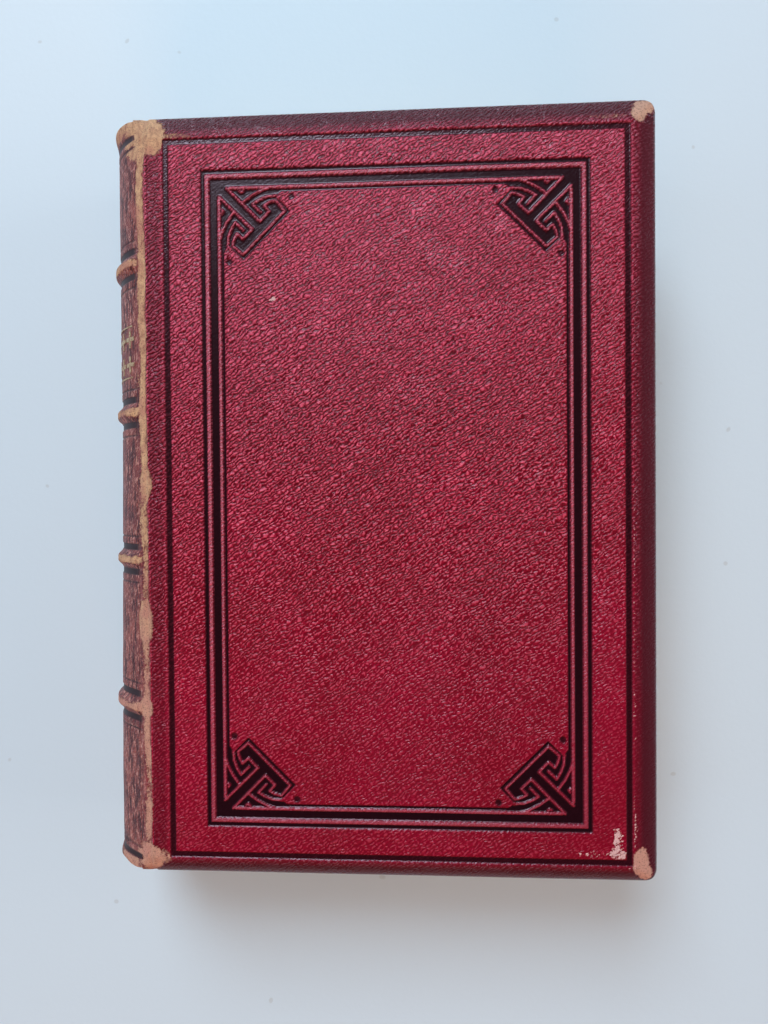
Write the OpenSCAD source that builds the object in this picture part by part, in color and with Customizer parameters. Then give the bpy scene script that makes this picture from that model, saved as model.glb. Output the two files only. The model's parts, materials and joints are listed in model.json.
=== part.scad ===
// Prayer book, sewn in gatherings and bound in full leather over bevelled boards.
// It lies shut on its back cover: +X points to the fore-edge, +Y to the head and +Z up.
// The origin is under the middle of the shut book's box.

/* [Covers] */
// Height of the covers, from tail to head
cover_h = 194; // [160:1:240]
// Width of a cover, from the joint to the fore-edge
cover_w = 127.5; // [105:0.5:160]
// Thickness of a cover: leather, board and pastedown
cover_t = 5; // [4.5:0.1:7]
// Thickness of the covering leather
leather_t = 0.9; // [0.6:0.1:1.1]
// Thickness of the turned-in leather and of the pastedown
lining_t = 0.4; // [0.2:0.1:0.5]
// Width of the leather that is turned in over the board
turn_in_w = 13; // [8:1:20]
// Width of the bevel at the fore-edge and at the head
bevel_w = 6.8; // [4:0.1:9]
// Width of the bevel at the tail
tail_bevel_w = 5.2; // [3:0.1:9]
// How far a bevel falls
bevel_drop = 2.8; // [1:0.1:2.8]
// Radius of a cover's fore-edge corners
corner_r = 3.5; // [2:0.1:6]

/* [Text block] */
// Number of folded gatherings
gatherings = 24; // [16:1:32]
// Thickness of the block between the covers
block_t = 34; // [26:1:44]
// How far the covers stand out past the leaves
square_w = 3; // [2:0.5:5]
// Thickness of an endleaf
endleaf_t = 0.25; // [0.15:0.05:0.4]
// Air between neighbouring leaves and gatherings
leaf_gap = 0.08; // [0.05:0.01:0.15]
// Gap between a turning piece's edge and the joint
hinge_gap = 0.3; // [0.2:0.1:0.6]

/* [Spine] */
// How far the round spine stands out past the joint
spine_round = 13.5; // [10:0.5:15]
// Number of raised bands
bands = 4; // [3:1:5]
// Distance from the head to the middle of the first band
first_band = 37; // [25:1:40]
// Distance from one band to the next
band_pitch = 38; // [25:1:40]
// Width of a raised band
band_w = 3.6; // [3:0.1:5]
// Height of a raised band over the spine
band_rise = 1.2; // [0.8:0.1:1.4]
// Thickness of the card that stiffens the spine
stiffener_t = 0.8; // [0.5:0.1:1.2]
// Thickness of the folded paper tube behind the leather
tube_t = 0.9; // [0.6:0.1:1.2]
// Thickness of the cloth and glue on the folds
mull_t = 0.4; // [0.2:0.1:0.6]
// Number of cords that the gatherings are sewn on
cords = 5; // [3:1:6]

/* [Blind tooling] */
// Depth of the tooled lines
tool_depth = 0.3; // [0.1:0.05:0.4]
// Width of the line along the bevels' ridge
ridge_line_w = 1.5; // [0.8:0.1:2]
// Distance from the joint to that line's middle
ridge_joint = 5.3; // [4:0.1:8]
// Distance from the fore-edge, and from the head, to that line's middle
ridge_edge = 7.5; // [7:0.1:11]
// Distance from the tail to that line's middle
ridge_tail = 5.8; // [5.2:0.1:10]
// Distance from the ridge line in to the frame's outer line, at the sides
frame_side = 9.5; // [6:0.1:14]
// The same distance at head and tail
frame_end = 7.9; // [6:0.1:14]
// Width of the frame's outer line
frame_line_w = 1.1; // [0.6:0.1:1.4]
// Width of the frame's broad band
frame_band_w = 2.1; // [1.6:0.1:3]
// Distance between the middles of that line and that band
frame_step = 2.7; // [2.5:0.1:4]
// Reach of a corner ornament along the diagonal
fret_reach = 16.6; // [12:0.1:20]
// Width of an ornament across the diagonal
fret_span = 15.8; // [12:0.1:20]
// Width of its diagonal bar and its crossbar
fret_bar_w = 2.7; // [1.8:0.1:3]

/* [Hidden] */
$fn = 96;
overlap = 1;
total_t = block_t + 2 * cover_t;
mid_z = total_t / 2;
inner_z = total_t - cover_t;
spine_r = (mid_z * mid_z + spine_round * spine_round) / (2 * spine_round);
book_w = cover_w + spine_round + band_rise;
fore_edge_x = book_w / 2;
joint_x = fore_edge_x - cover_w;
board_x = joint_x + hinge_gap;
spine_x = joint_x - spine_round + spine_r;
joint_angle = asin(mid_z / spine_r);
// Where the leather over the bands ends and the plain leather of the joints begins
band_angle = floor(joint_angle) - 10;

stiffener_r = spine_r - leather_t;
tube_r = stiffener_r - stiffener_t;
mull_r = tube_r - tube_t;
fold_r = mull_r - mull_t;
block_angle = asin(block_t / 2 / mull_r) - 1;
tube_layer_t = tube_t / 3;

cap_t = 1.2;
cap_flare = 0.8;
cap_flare_h = 3;
spine_inner_h = cover_h - 2 * cap_t - 0.4;
// The round that gives a band its width and its rise, and the round of the core under the leather
band_r = (band_w * band_w / 4 + band_rise * band_rise) / (2 * band_rise);
band_centre_r = spine_r + band_rise - band_r;
core_r = band_r - leather_t;
core_half = sqrt(core_r * core_r - pow(stiffener_r - band_centre_r, 2));
round_steps = 10;

leaf_h = cover_h - 2 * square_w;
endleaf_pitch = endleaf_t + leaf_gap;
gathering_pitch = (block_t - 4 * endleaf_pitch - leaf_gap) / gatherings;
gathering_t = gathering_pitch - leaf_gap;
// Leaves reach the edge of the square where the block meets a cover
leaf_w = fore_edge_x - square_w - fold_x(block_t / 2 - 2 * endleaf_pitch - gathering_t / 2);
// The first gatherings turn with the front cover; the others stay in the block
turning = 4;

kerf_w = 1.2;
kerf_t = 0.9;
kerf_room = 0.05;
cord_pitch = leaf_h / (cords + 1);
kettle_inset = 10;
kettle_w = 0.6;
endband_r = 0.85;

gilt_t = 0.1;
gilt_rows = [-1, 1];
gilt_row_step = 3.3;
gilt_cross = 4.4;
gilt_bar = 1;
gilt_crosses = 9;
gilt_angle_step = 11.5;
gilt_rule_w = 0.4;

leather_colour = [0.50, 0.10, 0.15];
spine_colour = [0.36, 0.13, 0.14];
board_colour = [0.55, 0.47, 0.36];
endpaper_colour = [0.62, 0.42, 0.36];
paper_colour = [0.93, 0.89, 0.78];
cloth_colour = [0.80, 0.78, 0.70];
silk_colour = [0.75, 0.62, 0.28];
gold_colour = [0.85, 0.65, 0.25];

// Two figures keep the gatherings in order in a list of names
function gathering_name(i) = str("gathering_", i < 10 ? "0" : "", i);
function band_name(i) = str("raised_band_", i);
function band_y(i) = cover_h / 2 - first_band - (i - 1) * band_pitch;
function cord_y(i) = leaf_h / 2 - i * cord_pitch;
// Height of a gathering's middle, and of an endleaf's, counted down from the front cover
function gathering_z(i) = inner_z - leaf_gap - 2 * endleaf_pitch - (i - 0.5) * gathering_pitch
    + leaf_gap / 2;
function endleaf_z(i) = inner_z - leaf_gap - (i - 1) * endleaf_pitch - endleaf_t / 2;
// Where a fold's centre lies on the round back of the block, at height h from its middle
function fold_x(h) = spine_x - sqrt(pow(fold_r - gathering_t / 2, 2) - h * h);

// Draws an outline in X and Z, and gives it a length along Y
module along_y(length) {
    rotate([90, 0, 0]) linear_extrude(length, center = true) children();
}

// Turns an outline, drawn in radius and Y, round the spine's axis, from one angle to another
module spine_arc(low, high) {
    translate([spine_x, 0, mid_z])
        rotate([-90, 0, 0])
            rotate([0, 0, 180 + low])
                rotate_extrude(angle = high - low) children();
}

module around_spine(half_angle) {
    spine_arc(-half_angle, half_angle) children();
}

module ring_section(inner_r, outer_r, height, y = 0) {
    translate([inner_r, y - height / 2]) square([outer_r - inner_r, height]);
}

module to_back() {
    translate([0, 0, total_t]) mirror([0, 0, 1]) children();
}

// ---- Covers ----

module cover_outline(inset, start) {
    r = corner_r - inset;
    edge_x = fore_edge_x - inset;
    half_h = cover_h / 2 - inset;
    translate([start, -half_h]) square([edge_x - r - start, 2 * half_h]);
    translate([start, r - half_h]) square([edge_x - start, 2 * (half_h - r)]);
    for (side = [-1, 1])
        translate([edge_x - r, side * (half_h - r)]) circle(r);
}

// A front cover's outer shape, with every outer face drawn in by inset
module bevelled_slab(inset, bottom, start) {
    edge_x = fore_edge_x - inset;
    half_h = cover_h / 2 - inset;
    top = total_t - inset;
    side_z = top - bevel_drop * (bevel_w - inset) / bevel_w;
    tail_z = top - bevel_drop * (tail_bevel_w - inset) / tail_bevel_w;
    head_ridge = cover_h / 2 - bevel_w;
    tail_ridge = tail_bevel_w - cover_h / 2;
    intersection() {
        along_y(cover_h)
            polygon([[start, bottom], [edge_x, bottom], [edge_x, side_z],
                [fore_edge_x - bevel_w, top], [start, top]]);
        translate([start, 0, 0])
            rotate([90, 0, 90])
                linear_extrude(cover_w + overlap)
                    polygon([[-half_h, bottom], [half_h, bottom], [half_h, side_z],
                        [head_ridge, top], [tail_ridge, top], [-half_h, tail_z]]);
        translate([0, 0, bottom]) linear_extrude(cover_t) cover_outline(inset, start);
    }
}

module pastedown_sheet(start) {
    half_h = cover_h / 2 - turn_in_w;
    translate([start, -half_h, inner_z])
        cube([fore_edge_x - turn_in_w - start, 2 * half_h, lining_t]);
}

// Half of a corner ornament, with its diagonal along +X: a bar, a crossbar and a hooked end
module half_fret() {
    half_bar = fret_bar_w / 2;
    half_span = fret_span / 2;
    cross_x = fret_reach - fret_bar_w;
    polygon([[-half_bar, 0], [-half_bar, half_bar], [cross_x, half_bar],
        [cross_x, half_span - fret_bar_w], [cross_x - half_bar, half_span - fret_bar_w],
        [cross_x - half_bar, half_span], [fret_reach, half_span], [fret_reach, 0]]);
}

module line_frame(low, high, width) {
    difference() {
        translate(low - [width, width] / 2) square(high - low + [width, width]);
        translate(low + [width, width] / 2) square(high - low - [width, width]);
    }
}

// The tooled lines of a cover, seen from outside
module tooling() {
    ridge_low = [joint_x + ridge_joint, ridge_tail - cover_h / 2];
    ridge_high = [fore_edge_x - ridge_edge, cover_h / 2 - ridge_edge];
    line_in = [frame_side, frame_end];
    band_in = line_in + [frame_step, frame_step];
    fret_in = band_in + [frame_band_w, frame_band_w] / 2;
    line_frame(ridge_low, ridge_high, ridge_line_w);
    line_frame(ridge_low + line_in, ridge_high - line_in, frame_line_w);
    line_frame(ridge_low + band_in, ridge_high - band_in, frame_band_w);
    for (right = [0, 1], top = [0, 1], half = [0, 1])
        translate([right ? ridge_high[0] - fret_in[0] : ridge_low[0] + fret_in[0],
            top ? ridge_high[1] - fret_in[1] : ridge_low[1] + fret_in[1]])
            mirror([right, 0])
                mirror([0, top])
                    rotate(45)
                        mirror([0, half]) half_fret();
}

module cover_board() {
    color(board_colour) bevelled_slab(leather_t, inner_z + lining_t, board_x);
}

module cover_leather() {
    color(leather_colour)
        difference() {
            bevelled_slab(0, inner_z, board_x);
            bevelled_slab(leather_t, inner_z + lining_t, board_x - overlap);
            pastedown_sheet(board_x - overlap);
            translate([0, 0, total_t - tool_depth]) linear_extrude(overlap) tooling();
        }
}

module cover_pastedown() {
    color(endpaper_colour) pastedown_sheet(board_x);
}

module front_board() cover_board();
module front_leather() cover_leather();
module front_pastedown() cover_pastedown();
module back_board() to_back() cover_board();
module back_leather() to_back() cover_leather();
module back_pastedown() to_back() cover_pastedown();

// ---- Leaves ----

module endleaf(place) {
    width = fore_edge_x - square_w - board_x;
    translate([board_x, -leaf_h / 2, endleaf_z(place) - endleaf_t / 2])
        cube([width, leaf_h, endleaf_t]);
}

module front_free_endpaper() color(endpaper_colour) endleaf(1);
module front_flyleaf() color(paper_colour) endleaf(2);
module back_flyleaf() color(paper_colour) to_back() endleaf(2);
module back_free_endpaper() color(endpaper_colour) to_back() endleaf(1);

// The bound edges of the endleaves, which stay in the shoulders of the block
module endleaf_stubs() {
    color(paper_colour)
        for (place = [1, 2], back = [0, 1])
            translate([0, 0, back * total_t])
                mirror([0, 0, back])
                    translate([fold_x(block_t / 2) + gathering_t / 2, -leaf_h / 2,
                        endleaf_z(place) - endleaf_t / 2])
                        cube([joint_x - fold_x(block_t / 2) - gathering_t / 2, leaf_h, endleaf_t]);
}

// One gathering: a flat stack of leaves with a round fold, cut where the cords are let in
module folded_stack(i) {
    z = gathering_z(i);
    x = fold_x(z - mid_z);
    difference() {
        along_y(leaf_h)
            translate([x, z]) {
                circle(d = gathering_t);
                translate([0, -gathering_t / 2]) square([leaf_w, gathering_t]);
            }
        around_spine(block_angle + 5) {
            for (c = [1:cords])
                ring_section(fold_r - kerf_t, fold_r + kerf_t, kerf_w, cord_y(c));
            for (side = [-1, 1])
                ring_section(fold_r - kerf_t, fold_r + kerf_t, kerf_w,
                    side * (leaf_h / 2 - kettle_inset));
        }
    }
}

// The room on one side of the joint, open at the top, the bottom and both ends
module joint_side(fore_edge) {
    start = fore_edge ? board_x : joint_x - book_w;
    translate([start, -cover_h / 2 - overlap, -overlap])
        cube([book_w, cover_h + 2 * overlap, total_t + 2 * overlap]);
}

module gathering(i) {
    color(paper_colour)
        if (i > turning) {
            folded_stack(i);
        } else {
            intersection() {
                folded_stack(i);
                joint_side(true);
            }
        }
}

// The sewn folds of the gatherings that turn, which stay in the block
module sewn_folds() {
    color(paper_colour)
        for (i = [1:turning])
            intersection() {
                folded_stack(i);
                joint_side(false);
            }
}

// ---- Sewing and spine ----

module sewing_cords() {
    color(cloth_colour)
        for (c = [1:cords])
            around_spine(block_angle)
                ring_section(fold_r - kerf_t + kerf_room, fold_r - kerf_room,
                    kerf_w - 2 * kerf_room, cord_y(c));
}

module kettle_stitches() {
    color(cloth_colour)
        for (side = [-1, 1])
            around_spine(block_angle)
                ring_section(fold_r - kettle_w, fold_r - kerf_room, kettle_w,
                    side * (leaf_h / 2 - kettle_inset));
}

module mull() {
    color(cloth_colour) around_spine(block_angle) ring_section(fold_r, mull_r, leaf_h);
}

// A flattened tube of paper, glued to the mull inside and to the stiffener outside
module hollow_tube() {
    color(board_colour)
        difference() {
            around_spine(block_angle) ring_section(mull_r, tube_r, leaf_h);
            around_spine(block_angle - 2)
                ring_section(mull_r + tube_layer_t, tube_r - tube_layer_t, leaf_h + overlap);
        }
}

module spine_stiffener() {
    color(board_colour)
        around_spine(block_angle) ring_section(tube_r, stiffener_r, spine_inner_h);
}

// A round over band i, from -half to half across it
function round_points(i, r, half) = [
    for (k = [0:round_steps])
        let (t = half * (2 * k / round_steps - 1))
            [band_centre_r + sqrt(r * r - t * t), band_y(i) + t]
];

function reversed(list) = [for (k = [len(list) - 1:-1:0]) list[k]];

module raised_band(i) {
    color(board_colour) around_spine(band_angle) polygon(round_points(i, core_r, core_half));
}

module endband(side) {
    color(silk_colour)
        around_spine(block_angle - 3)
            translate([fold_r - endband_r, side * (leaf_h / 2 + endband_r)]) circle(endband_r);
}

module headband() endband(1);
module tailband() endband(-1);

// The leather over the bands, with a cap at each end that covers the edges inside and leans out
module leather_section() {
    top = cover_h / 2;
    outer_cap = [[spine_r, top - cap_flare_h], [spine_r + cap_flare, top - cap_t],
        [spine_r + cap_flare, top]];
    inner_cap = [[mull_r, top], [mull_r, top - cap_t], [stiffener_r, top - cap_t]];
    polygon(concat(
        [for (p = reversed(outer_cap)) [p[0], -p[1]]],
        [for (i = [bands:-1:1]) each round_points(i, band_r, band_w / 2)],
        outer_cap,
        inner_cap,
        [for (i = [1:bands]) each reversed(round_points(i, core_r, core_half))],
        [for (p = reversed(inner_cap)) [p[0], -p[1]]]
    ));
}

module spine_leather() {
    color(spine_colour) around_spine(band_angle) leather_section();
}

// The leather that hinges a cover, up to the joint
module joint_leather() {
    color(leather_colour)
        intersection() {
            spine_arc(band_angle, joint_angle + 3)
                ring_section(stiffener_r, spine_r, cover_h);
            joint_side(false);
        }
}

module front_joint_leather() joint_leather();
module back_joint_leather() to_back() joint_leather();

module plain_cross(width, bar) {
    square([width, bar], center = true);
    square([bar, width], center = true);
}

// Two rows of plain crosses between gilt rules, in the second panel of the spine
module gilt_ornament() {
    middle = (band_y(1) + band_y(2)) / 2 - gilt_row_step;
    color(gold_colour) {
        intersection() {
            around_spine(band_angle)
                ring_section(spine_r, spine_r + gilt_t, 4 * gilt_row_step, middle);
            translate([spine_x, middle, mid_z])
                for (row = gilt_rows, k = [1:gilt_crosses])
                    translate([0, row * gilt_row_step, 0])
                        rotate([0, (k - (gilt_crosses + 1) / 2) * gilt_angle_step - 90, 0])
                            linear_extrude(spine_r + overlap) plain_cross(gilt_cross, gilt_bar);
        }
        for (rule = [-1, 1])
            around_spine(band_angle - 4)
                ring_section(spine_r, spine_r + gilt_t, gilt_rule_w,
                    middle + rule * 2 * gilt_row_step);
    }
}

front_board();
front_leather();
front_pastedown();
back_board();
back_leather();
back_pastedown();
front_free_endpaper();
front_flyleaf();
back_flyleaf();
back_free_endpaper();
for (i = [1:gatherings])
    gathering(i);
sewn_folds();
endleaf_stubs();
sewing_cords();
kettle_stitches();
mull();
hollow_tube();
spine_stiffener();
for (i = [1:bands])
    raised_band(i);
headband();
tailband();
spine_leather();
front_joint_leather();
back_joint_leather();
gilt_ornament();
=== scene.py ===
"""A prayer book in blind-tooled crimson morocco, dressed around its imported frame.

Lengths are in millimetres until a mesh is made. The frame's own lengths are in metres.
"""

import json
import math

import bmesh
import bpy
import numpy as np
from mathutils import Matrix, Vector


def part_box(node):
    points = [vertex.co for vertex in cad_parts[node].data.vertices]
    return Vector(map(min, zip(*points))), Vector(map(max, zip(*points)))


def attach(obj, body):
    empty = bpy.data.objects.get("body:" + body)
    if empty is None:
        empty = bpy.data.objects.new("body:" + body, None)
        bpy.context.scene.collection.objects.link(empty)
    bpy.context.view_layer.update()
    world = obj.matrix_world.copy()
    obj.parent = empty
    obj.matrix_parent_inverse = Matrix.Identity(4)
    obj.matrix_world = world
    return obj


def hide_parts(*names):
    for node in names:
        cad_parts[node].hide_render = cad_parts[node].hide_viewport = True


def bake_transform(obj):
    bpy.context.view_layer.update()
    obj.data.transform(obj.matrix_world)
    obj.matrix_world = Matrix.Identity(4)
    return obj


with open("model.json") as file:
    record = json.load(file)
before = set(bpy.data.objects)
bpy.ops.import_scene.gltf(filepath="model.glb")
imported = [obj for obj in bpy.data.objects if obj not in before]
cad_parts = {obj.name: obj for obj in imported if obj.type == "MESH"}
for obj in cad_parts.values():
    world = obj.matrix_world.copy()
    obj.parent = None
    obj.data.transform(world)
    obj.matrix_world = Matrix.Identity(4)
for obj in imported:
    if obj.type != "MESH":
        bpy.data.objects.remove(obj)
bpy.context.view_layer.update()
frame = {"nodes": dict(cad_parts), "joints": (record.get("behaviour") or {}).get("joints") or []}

MM = 0.001
JOINTS = {joint["name"]: joint for joint in frame["joints"]}

# -------------------- sizes


def node_box(node):
    """The lowest and highest corners of a CAD node, in millimetres."""
    low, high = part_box(node)
    return np.array(low) / MM, np.array(high) / MM


cover_low, cover_high = node_box("front_leather")
spine_low, _ = node_box("spine_leather")
_, lining_high = node_box("front_pastedown")
TOP = cover_high[2]
INNER = cover_low[2]
FORE = cover_high[0]
HALF_H = cover_high[1]
BOARD_X = cover_low[0]
JOINT_X = JOINTS["front_cover_hinge"]["pos_m"][0] / MM
MID_Z = TOP / 2
LEAF_HALF_H = node_box("gathering_12")[1][1]

LEATHER_T = 0.9
LINING_T = 0.4
STIFFENER_T = 0.8
TUBE_T = 0.9
MULL_T = 0.4
CORNER_R = 3.5
BEVEL_W = 6.8
TAIL_BEVEL_W = 5.2
BEVEL_DROP = 2.8
BEVEL_CURVE = 1.6
EDGE_ROUND = 0.9
BAND_RISE = 1.2
BAND_YS = [sum(corner[1] for corner in node_box(f"raised_band_{i}")) / 2 for i in range(1, 5)]
# How much of each side of the spine's round belongs to the joint, in degrees
JOINT_ARC = 10

SPINE_ROUND = JOINT_X - spine_low[0] - BAND_RISE
SPINE_R = (MID_Z ** 2 + SPINE_ROUND ** 2) / (2 * SPINE_ROUND)
SPINE_X = JOINT_X - SPINE_ROUND + SPINE_R
JOINT_ANGLE = math.degrees(math.asin(MID_Z / SPINE_R))
STIFFENER_R = SPINE_R - LEATHER_T
MULL_R = STIFFENER_R - STIFFENER_T - TUBE_T
FOLD_R = MULL_R - MULL_T
SKIN_ANGLE = math.floor(JOINT_ANGLE) - JOINT_ARC

RIDGE_FROM_JOINT = 5.3
RIDGE_FROM_TAIL = 5.8
RIDGE_FROM_EDGE = 7.5
RIDGE_LOW = np.array([JOINT_X + RIDGE_FROM_JOINT, RIDGE_FROM_TAIL - HALF_H])
RIDGE_HIGH = np.array([FORE, HALF_H]) - RIDGE_FROM_EDGE
FRAME_IN = np.array([9.5, 7.9])
FRAME_LOW = RIDGE_LOW + FRAME_IN
FRAME_HIGH = RIDGE_HIGH - FRAME_IN
RIDGE_LINE_W = 1.5
FRAME_LINE_W = 1.1
BROAD_BAND = (1.65, 3.75)
THIN_LINE = (4.6, 5.4)
TOOL_DEPTH = 0.32
TOOL_EDGE = 0.32
PROUD_RISE = 0.07
FRET_REACH = 20

# -------------------- shaping


def smooth(t):
    """Rises softly from 0 to 1 as t does."""
    t = np.clip(t, 0, 1)
    return t * t * (3 - 2 * t)


def within(distance, half_width, edge=TOOL_EDGE):
    """1 inside half_width, 0 outside it, with a soft edge."""
    return 1 - smooth((np.abs(distance) - half_width + edge / 2) / edge)


def between(value, low, high, edge=TOOL_EDGE):
    """1 from low to high, 0 outside them, with soft edges."""
    return within(value - (low + high) / 2, (high - low) / 2, edge)


def ripple(a, b, seed, scale):
    """A smooth, seeded unevenness from -1 to 1 over two coordinates."""
    rng = np.random.default_rng(seed)
    total = np.zeros(np.broadcast(a, b).shape)
    waves = 7
    for _ in range(waves):
        angle = rng.uniform(0, math.tau)
        pitch = scale * rng.uniform(0.6, 1.7)
        phase = rng.uniform(0, math.tau)
        total = total + np.sin((a * math.cos(angle) + b * math.sin(angle)) * math.tau / pitch + phase)
    return total / math.sqrt(2 * waves)


def segment_distance(u, v, start, end):
    """Distance from points (u, v) to one straight line between two points."""
    start, end = np.array(start), np.array(end)
    along = end - start
    t = ((u - start[0]) * along[0] + (v - start[1]) * along[1]) / (along @ along)
    t = np.clip(t, 0, 1)
    return np.hypot(u - start[0] - t * along[0], v - start[1] - t * along[1])


def line_distance(u, v, points):
    """Distance from points (u, v) to a broken line."""
    return np.min([segment_distance(u, v, a, b) for a, b in zip(points, points[1:])], axis=0)


def inside_outline(u, v, points):
    """Whether points (u, v) lie inside a closed outline."""
    inside = np.zeros(np.shape(u), bool)
    for (au, av), (bu, bv) in zip(points, points[1:] + points[:1]):
        if av != bv:
            crosses = (av > v) != (bv > v)
            inside ^= crosses & (u < (bu - au) * (v - av) / (bv - av) + au)
    return inside


def outline_depth(u, v, points):
    """Distance inside a closed outline, and less than 0 outside it."""
    distance = line_distance(u, v, points + points[:1])
    return np.where(inside_outline(u, v, points), distance, -distance)


def box_depth(x, y, low, high):
    """Distance inside a box, and less than 0 outside it."""
    half = (high - low) / 2
    middle = (high + low) / 2
    return -np.maximum(np.abs(x - middle[0]) - half[0], np.abs(y - middle[1]) - half[1])


# A corner ornament, in millimetres along the diagonal (u) and across it (v)
FRET_BAR = [
    (1.9, 1.45), (13.8, 1.35), (13.85, 4.75), (11.8, 4.85), (12.2, 6.3), (13.1, 7.8), (16.6, 7.55), (16.6, 0),
]
FRET_HOOK = [(12.3, 3.1), (9.5, 3.15), (9.9, 4.9), (10.8, 6.9), (12.4, 8.8), (17.7, 8.75)]
FRET_ARC = [(7.4, 1.5), (7.9, 4.6), (8.8, 7.3), (10.0, 9.5)]
FRET_EYE = [(4.9, 3.2), (5.5, 3.35), (5.5, 4.0)]
FRET_PIT = [(-0.5, -1), (0, 0.5), (12.6, 13.0), (12.8, 10.9), (12.4, 8.8), (17.7, 8.75), (17.7, -1)]
FRET_RIDGE_W = 0.26
FRET_PEN_W = 0.8
# Where the frame's thin line stops short of the ornament, along the diagonal
FRET_CUT = 12.6
DOT_ALONG = 18.8
DOT_ACROSS = 2.9
DOT_R = 0.85


def corner_ornament(x, y, corner, inward):
    """How far the ornament's pit, its ridges and its dots reach at each point, from 0 to 1."""
    across = (x - corner[0]) * inward[0]
    along = (y - corner[1]) * inward[1]
    u = (across + along) / math.sqrt(2)
    v = np.abs(across - along) / math.sqrt(2)
    pit = smooth(0.5 + outline_depth(u, v, FRET_PIT) / TOOL_EDGE)
    lines = [line_distance(u, v, points) for points in (FRET_BAR, FRET_HOOK, FRET_ARC)]
    ridge = within(np.min(lines, axis=0), FRET_RIDGE_W, 0.34)
    eye = within(line_distance(u, v, FRET_EYE), 0.22, 0.3)
    nearer = np.minimum(across, along)
    further = np.maximum(across, along)
    frame_ridge = between(nearer, 0.05, FRET_PEN_W, 0.3) * (u > 2.2)
    dot = within(np.hypot(further - DOT_ALONG, nearer - DOT_ACROSS), DOT_R, 0.5)
    ridge = np.maximum.reduce([ridge, eye, frame_ridge])
    near = further < 1.5 * FRET_REACH
    cut = (u < FRET_CUT) & (across > -1) & (along > -1)
    return pit * near, ridge * near, dot * near, cut


def tooling(x, y):
    """The blind tooling: how black, and how proud as a ridge, each point is, from 0 to 1."""
    outer = box_depth(x, y, RIDGE_LOW, RIDGE_HIGH)
    depth = box_depth(x, y, FRAME_LOW, FRAME_HIGH)
    ridge_line = 0.94 * within(outer, RIDGE_LINE_W / 2, 0.42)
    black = np.maximum.reduce([ridge_line, within(depth, FRAME_LINE_W / 2), between(depth, *BROAD_BAND)])
    thin = between(depth, *THIN_LINE)
    proud = np.maximum.reduce([
        between(depth, FRAME_LINE_W / 2, BROAD_BAND[0]), between(depth, BROAD_BAND[1], THIN_LINE[0]),
        0.55 * within(outer + RIDGE_LINE_W / 2 + 0.3, 0.3)])
    pits, ridges, dots = np.zeros((3, *x.shape))
    for right in (0, 1):
        for top in (0, 1):
            inward = 1 - 2 * np.array([right, top])
            corner = np.where([right, top], FRAME_HIGH, FRAME_LOW) + inward * BROAD_BAND[1]
            pit, ridge, dot, cut = corner_ornament(x, y, corner, inward)
            thin = np.where(cut, 0, thin)
            pits = np.maximum(pits, pit)
            ridges = np.maximum(ridges, ridge)
            dots = np.maximum(dots, dot)
    proud = np.where(pits > 0.02, 0, proud)
    black = np.maximum.reduce([black, thin, pits * (1 - ridges)])
    inside = depth > BROAD_BAND[1] - 0.2
    ridges = ridges * pits * inside
    black = np.where(inside, black * (1 - ridges), black)
    return np.clip(black, 0, 1), np.clip(np.maximum(proud, ridges), 0, 1), dots


def edge_distance(x, y):
    """Distance in from a cover's outline, which has round corners at the fore-edge."""
    flat = np.minimum(FORE - x, HALF_H - np.abs(y))
    u = x - (FORE - CORNER_R)
    v = np.abs(y) - (HALF_H - CORNER_R)
    return np.where((u > 0) & (v > 0), CORNER_R - np.hypot(u, v), flat)


def bevel_share(x, y):
    """0 on the cover's flat, rising to 1 at its outer edges."""
    side = np.clip((x - FORE + BEVEL_W) / BEVEL_W, 0, 1)
    head = np.clip((y - HALF_H + BEVEL_W) / BEVEL_W, 0, 1)
    tail = np.clip((-y - HALF_H + TAIL_BEVEL_W) / TAIL_BEVEL_W, 0, 1)
    power = 9
    share = (side ** power + head ** power + tail ** power) ** (1 / power)
    return np.clip(share, 0, 1)


def cover_drop(x, y):
    """How far a cover's skin lies under the book's top, and its painted layers."""
    black, proud, dots = tooling(x, y)
    share = bevel_share(x, y)
    drop = BEVEL_DROP * share ** BEVEL_CURVE
    edge = np.clip(EDGE_ROUND - edge_distance(x, y), 0, EDGE_ROUND)
    drop = drop + EDGE_ROUND - np.sqrt(EDGE_ROUND ** 2 - edge ** 2)
    drop = drop + TOOL_DEPTH * np.maximum(black, 0.9 * dots) - PROUD_RISE * proud
    drop = drop + 0.05 + 0.045 * ripple(x, y, 3, 60) + 0.012 * ripple(x, y, 4, 9)
    # The grain is crisp at the head, and flatter towards the tail, the fore-edge and the bevels
    grain = 0.45 + 0.55 * smooth((y + 85) / 110) - 0.2 * smooth((x - 25) / 40)
    grain = grain * (1 - 0.75 * smooth((share - 0.15) / 0.3) * (y < HALF_H - BEVEL_W))
    layers = {"tool": np.maximum(black, 0.92 * dots), "proud": proud, "grain": grain}
    # The bevel layer is painted shade: it darkens the bevels' colour as they slope away from the light. It
    # also darkens a strip beside the joint.
    darker_joint_side = 0.55 * (1 - smooth((x - RIDGE_LOW[0] + 2.2) / 1.6))
    shaded = 0.62 * smooth((share - 0.02) / 0.12) + 0.38 * smooth((share - 0.2) / 0.24)
    layers["bevel"] = np.maximum(shaded, darker_joint_side)
    return drop, layers


# -------------------- wear

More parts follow.
